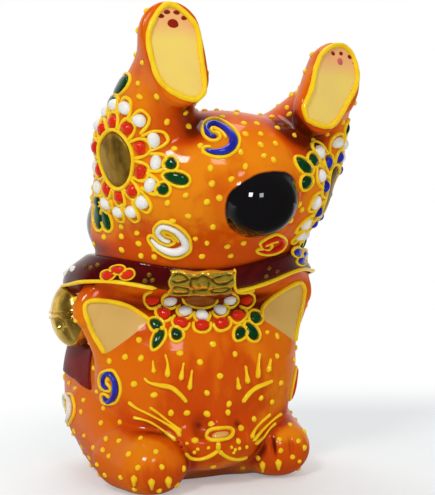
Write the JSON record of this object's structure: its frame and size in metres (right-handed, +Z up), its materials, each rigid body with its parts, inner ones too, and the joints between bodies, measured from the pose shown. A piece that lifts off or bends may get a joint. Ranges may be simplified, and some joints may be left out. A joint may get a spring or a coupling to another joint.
{
  "type": "lucky cat figurine",
  "caption": "Porcelain lucky cat resting on its forepaws with hind feet raised, with a ball tail, collar, bell and raised enamel flowers, beads and lines.",
  "frame": {"origin": "on the flat base, on the floor, under the middle of the trunk", "axes": "+Z up, the cat looks towards -Y, +X to the right as seen from the front"},
  "size_m": [0.0699, 0.0849, 0.1119],
  "materials": {
    "orange_glaze": "glossy overglaze enamel over porcelain",
    "ear_cream": "glossy",
    "black_glaze": "mirror-gloss glaze",
    "maroon_glaze": "glossy",
    "gilding": "polished gilding over glaze",
    "red_enamel": "raised glossy enamel",
    "blue_enamel": "raised glossy enamel",
    "white_enamel": "raised glossy enamel",
    "green_enamel": "raised glossy enamel",
    "yellow_enamel": "raised glossy enamel"
  },
  "bodies": {
    "root": {"torso_shell": "orange_glaze", "head_shell": "orange_glaze", "ear_left": "ear_cream", "ear_right": "ear_cream", "foreleg_left": "orange_glaze", "foreleg_right": "orange_glaze", "hind_leg_left": "orange_glaze", "hind_leg_right": "orange_glaze", "tail_ball": "black_glaze", "collar_band": "maroon_glaze", "bib": "maroon_glaze", "nape_plaque": "gilding", "bell": "gilding", "flank_discs": "gilding", "flank_red_beads": "red_enamel", "flank_blue_beads": "blue_enamel", "flank_outer_beads": "white_enamel", "flank_petal_lines": "yellow_enamel", "flank_leaves": "green_enamel", "garland_white_beads": "white_enamel", "garland_red_beads": "red_enamel", "garland_line": "yellow_enamel", "garland_leaves": "green_enamel", "ear_rims": "yellow_enamel", "sole_outlines": "yellow_enamel", "face_lines": "yellow_enamel", "spirals_white": "white_enamel", "spirals_blue": "blue_enamel", "spirals_red": "red_enamel", "collar_trim": "yellow_enamel", "collar_flower_red": "red_enamel", "collar_flower_blue": "blue_enamel", "toe_drops": "yellow_enamel"}
  },
  "joints": []
}
